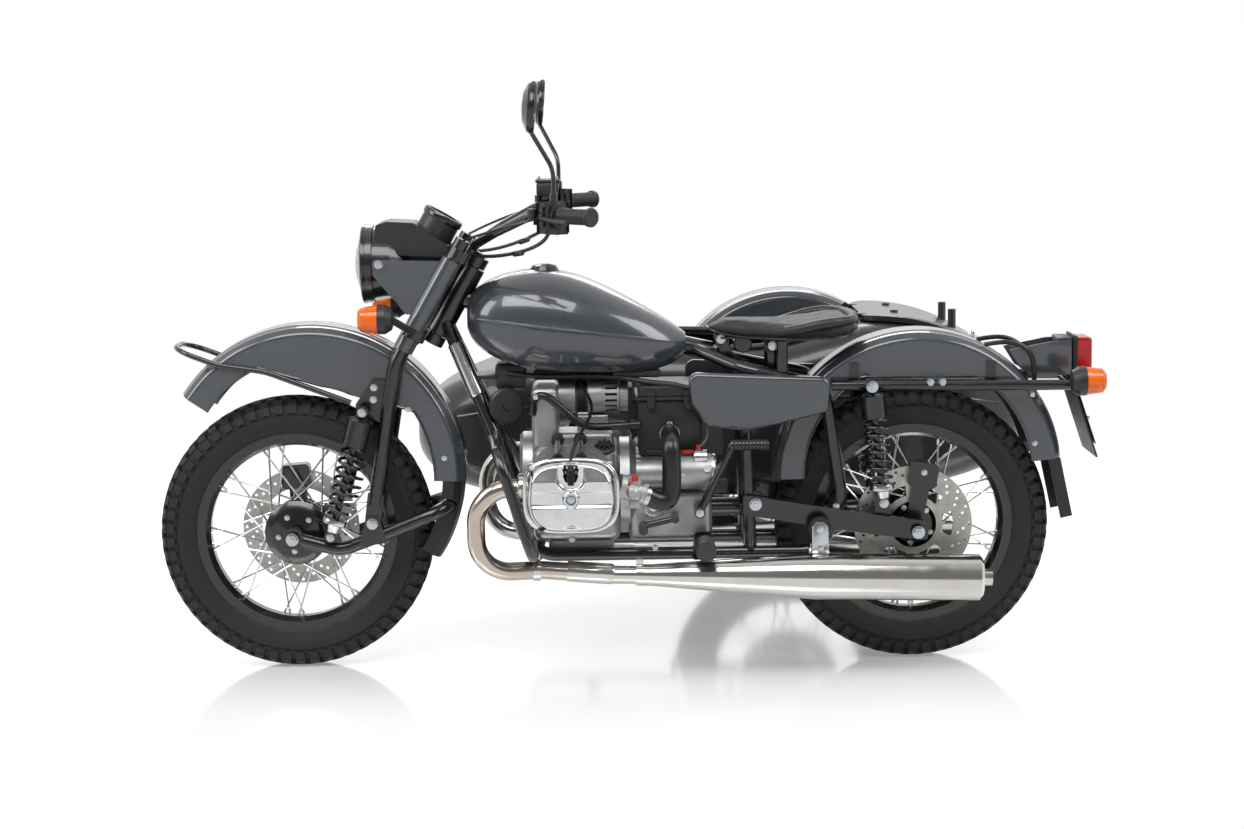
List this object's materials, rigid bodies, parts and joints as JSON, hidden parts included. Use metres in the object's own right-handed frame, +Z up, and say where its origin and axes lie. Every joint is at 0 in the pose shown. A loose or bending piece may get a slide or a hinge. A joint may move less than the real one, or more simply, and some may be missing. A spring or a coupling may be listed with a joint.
{
  "type": "sidecar motorcycle",
  "caption": "Flat-twin motorcycle with a leading-link fork, wire wheels and a hollow boat-shaped sidecar that has a bench seat and a hinged trunk lid.",
  "frame": {"origin": "middle of the outline on the floor under the tyres", "axes": "+X forward along the wheelbase, +Y to the rider's left, +Z up"},
  "size_m": [2.3513, 1.696, 1.4673],
  "materials": {
    "grey_paint": "gloss",
    "black_paint": "gloss",
    "cast_aluminium": "satin",
    "polished_aluminium": "polished",
    "stainless": "polished",
    "spoke_steel": "polished",
    "tyre_rubber": "matte",
    "rubber": "matte",
    "black_plastic": "satin",
    "leather": "satin",
    "clear_glass": "clear",
    "red_lens": "gloss",
    "amber_lens": "gloss",
    "mirror_case": "gloss",
    "bolt_steel": "satin"
  },
  "bodies": {
    "chassis": {"frame": "black_paint", "rear_subframe": "black_paint", "swingarm": "black_paint", "final_drive": "cast_aluminium", "shocks": "black_paint", "calipers": "black_paint", "crankcase": "cast_aluminium", "gearbox": "cast_aluminium", "cylinders": "cast_aluminium", "cylinder_heads": "cast_aluminium", "valve_covers": "polished_aluminium", "alternator": "cast_aluminium", "starter_motor": "bolt_steel", "air_box": "black_plastic", "intakes": "rubber", "exhaust_pipes": "stainless", "mufflers": "stainless", "crash_bar": "black_paint", "foot_controls": "black_paint", "fuel_tank": "grey_paint", "tank_cap": "bolt_steel", "saddle": "leather", "saddle_bracket": "black_paint", "side_covers": "grey_paint", "fenders": "grey_paint", "mud_flap": "rubber", "tail_bracket": "black_paint", "red_lenses": "red_lens", "signal_housings": "black_plastic", "amber_lenses": "amber_lens", "sidecar_frame": "black_paint", "sidecar_tub": "grey_paint", "sidecar_seat": "leather", "sidecar_swingarm": "black_paint"},
    "steering": {"fork": "black_paint", "fork_shrouds": "grey_paint", "front_link": "black_paint", "front_shocks": "black_paint", "front_fender": "grey_paint", "front_flap": "rubber", "fender_guard": "black_paint", "headlamp_shell": "black_paint", "headlamp_lens": "clear_glass", "instrument_pod": "black_plastic", "handlebar": "black_paint", "hand_controls": "rubber", "mirrors": "mirror_case", "front_caliper": "black_paint", "front_signal_housings": "black_plastic", "front_signal_lenses": "amber_lens"},
    "front_wheel": {"front_tyre": "tyre_rubber", "front_rim": "black_paint", "front_hub": "spoke_steel"},
    "rear_wheel": {"rear_tyre": "tyre_rubber", "rear_rim": "black_paint", "rear_hub": "spoke_steel"},
    "sidecar_wheel": {"sidecar_tyre": "tyre_rubber", "sidecar_rim": "black_paint", "sidecar_hub": "spoke_steel"},
    "trunk_lid": {"trunk_lid": "grey_paint"}
  },
  "joints": [
    {"name": "steering_turn", "type": "hinge", "parent": "chassis", "child": "steering", "pos_m": [0.4205, 0.388, 0.925], "axis": [-0.5, 0, 0.866], "range_deg": [-35, 35]},
    {"name": "front_wheel_spin", "type": "hinge", "parent": "steering", "child": "front_wheel", "pos_m": [0.8305, 0.388, 0.345], "axis": [0, 1, 0], "continuous": true},
    {"name": "rear_wheel_spin", "type": "hinge", "parent": "chassis", "child": "rear_wheel", "pos_m": [-0.7195, 0.388, 0.345], "axis": [0, 1, 0], "continuous": true},
    {"name": "sidecar_wheel_spin", "type": "hinge", "parent": "chassis", "child": "sidecar_wheel", "pos_m": [-0.4895, -0.772, 0.345], "axis": [0, 1, 0], "continuous": true},
    {"name": "trunk_lid_hinge", "type": "hinge", "parent": "chassis", "child": "trunk_lid", "pos_m": [-0.6355, -0.324, 0.811], "axis": [0, 1, 0], "range_deg": [0, 75]}
  ]
}
